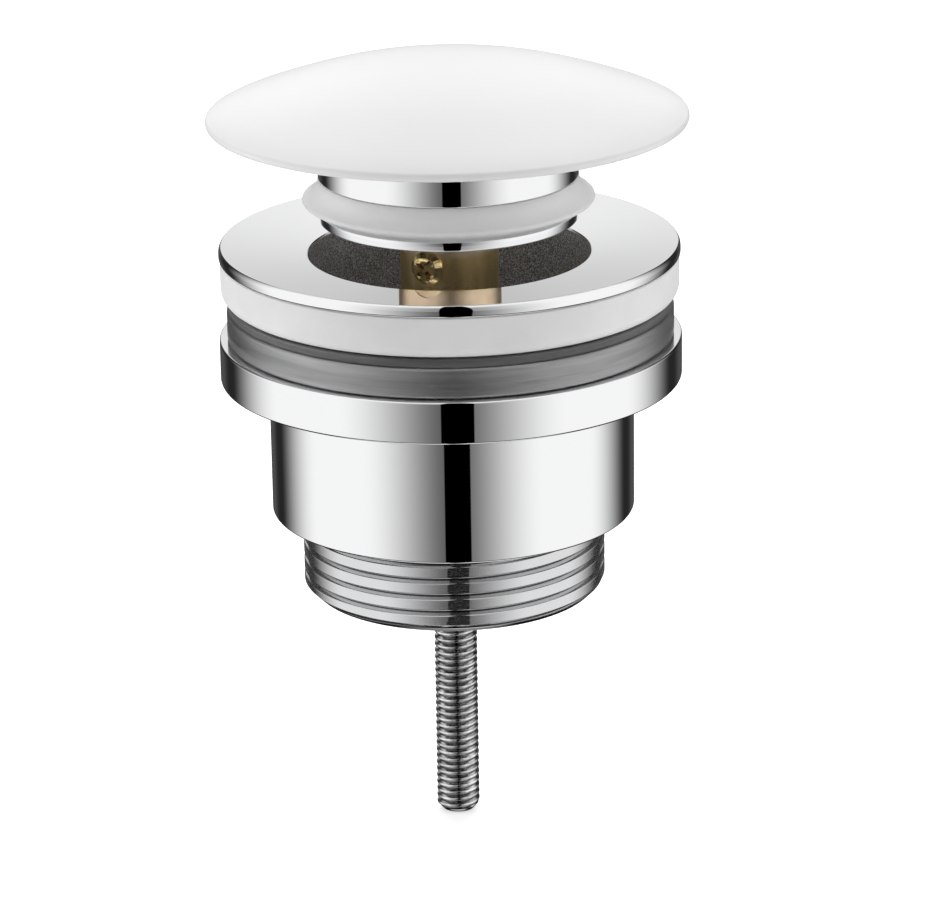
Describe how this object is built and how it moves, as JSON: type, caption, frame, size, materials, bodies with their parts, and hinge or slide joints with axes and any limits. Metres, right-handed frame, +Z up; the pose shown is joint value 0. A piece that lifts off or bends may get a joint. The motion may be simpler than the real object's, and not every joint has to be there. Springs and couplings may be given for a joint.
{
  "type": "pop up basin waste",
  "caption": "Press-to-open basin waste: ceramic mushroom plug on a sprung cartridge, dished flange, gaskets, and a clamp cup with a threaded tail that runs on a rod.",
  "frame": {"origin": "centre of the plane in which the upper gasket rests on the basin, on the drain's axis", "axes": "+Z up along the drain's axis, towards the plug; the front, with the guide screw to its left, faces -Y"},
  "size_m": [0.0654, 0.0654, 0.1087],
  "materials": {
    "ceramic": "satin white glaze",
    "chrome": "polished chrome plating on brass",
    "brass": "turned, slightly tarnished",
    "steel": "drawn stainless steel",
    "zinc_steel": "zinc plated",
    "white_rubber": "matt white rubber",
    "seal_silicone": "translucent white silicone",
    "packing_soft": "translucent soft packing",
    "packing_clear": "clear moulded plastic",
    "fibre": "pressed fibre"
  },
  "bodies": {
    "flange_body": {"top_flange": "chrome", "upper_gasket": "white_rubber", "cam_core": "brass", "core_washer": "fibre", "return_spring": "steel", "threaded_rod": "zinc_steel", "rod_lock_nut": "zinc_steel"},
    "spring_seat": {"spring_washer": "steel"},
    "plug": {"ceramic_cap": "ceramic", "cap_insert": "brass", "cap_cushion": "seal_silicone", "plug_cup": "chrome", "plug_seal": "seal_silicone", "seal_retainer": "chrome", "cartridge_sleeve": "brass", "guide_screw": "brass"},
    "packing": {"lower_gasket": "packing_soft", "slip_washer": "packing_clear"},
    "clamp_cup": {"lower_cup": "chrome", "rod_bushing": "brass"}
  },
  "joints": [
    {"name": "plug_press", "type": "slide", "parent": "flange_body", "child": "spring_seat", "axis": [0, 0, -1], "range_m": [0, 0.00695], "stiffness_N_per_m": 2090, "springref_m": -0.005, "deforming": ["return_spring"]},
    {"name": "plug_turn", "type": "hinge", "parent": "spring_seat", "child": "plug", "pos_m": [0, 0, 0], "axis": [0, 0, -1], "range_deg": [0, 22.5]},
    {"name": "clamp_travel", "type": "slide", "parent": "flange_body", "child": "packing", "axis": [0, 0, -1], "range_m": [0, 0.04]},
    {"name": "cup_turn", "type": "hinge", "parent": "packing", "child": "clamp_cup", "pos_m": [0, 0, 0], "axis": [0, 0, -1], "range_deg": [0, 14400]}
  ],
  "couplings": [
    {"joint": "plug_turn", "follows": "plug_press", "rad_per_m": 56.5},
    {"joint": "clamp_travel", "follows": "cup_turn", "m_per_rad": 0.00015915}
  ]
}
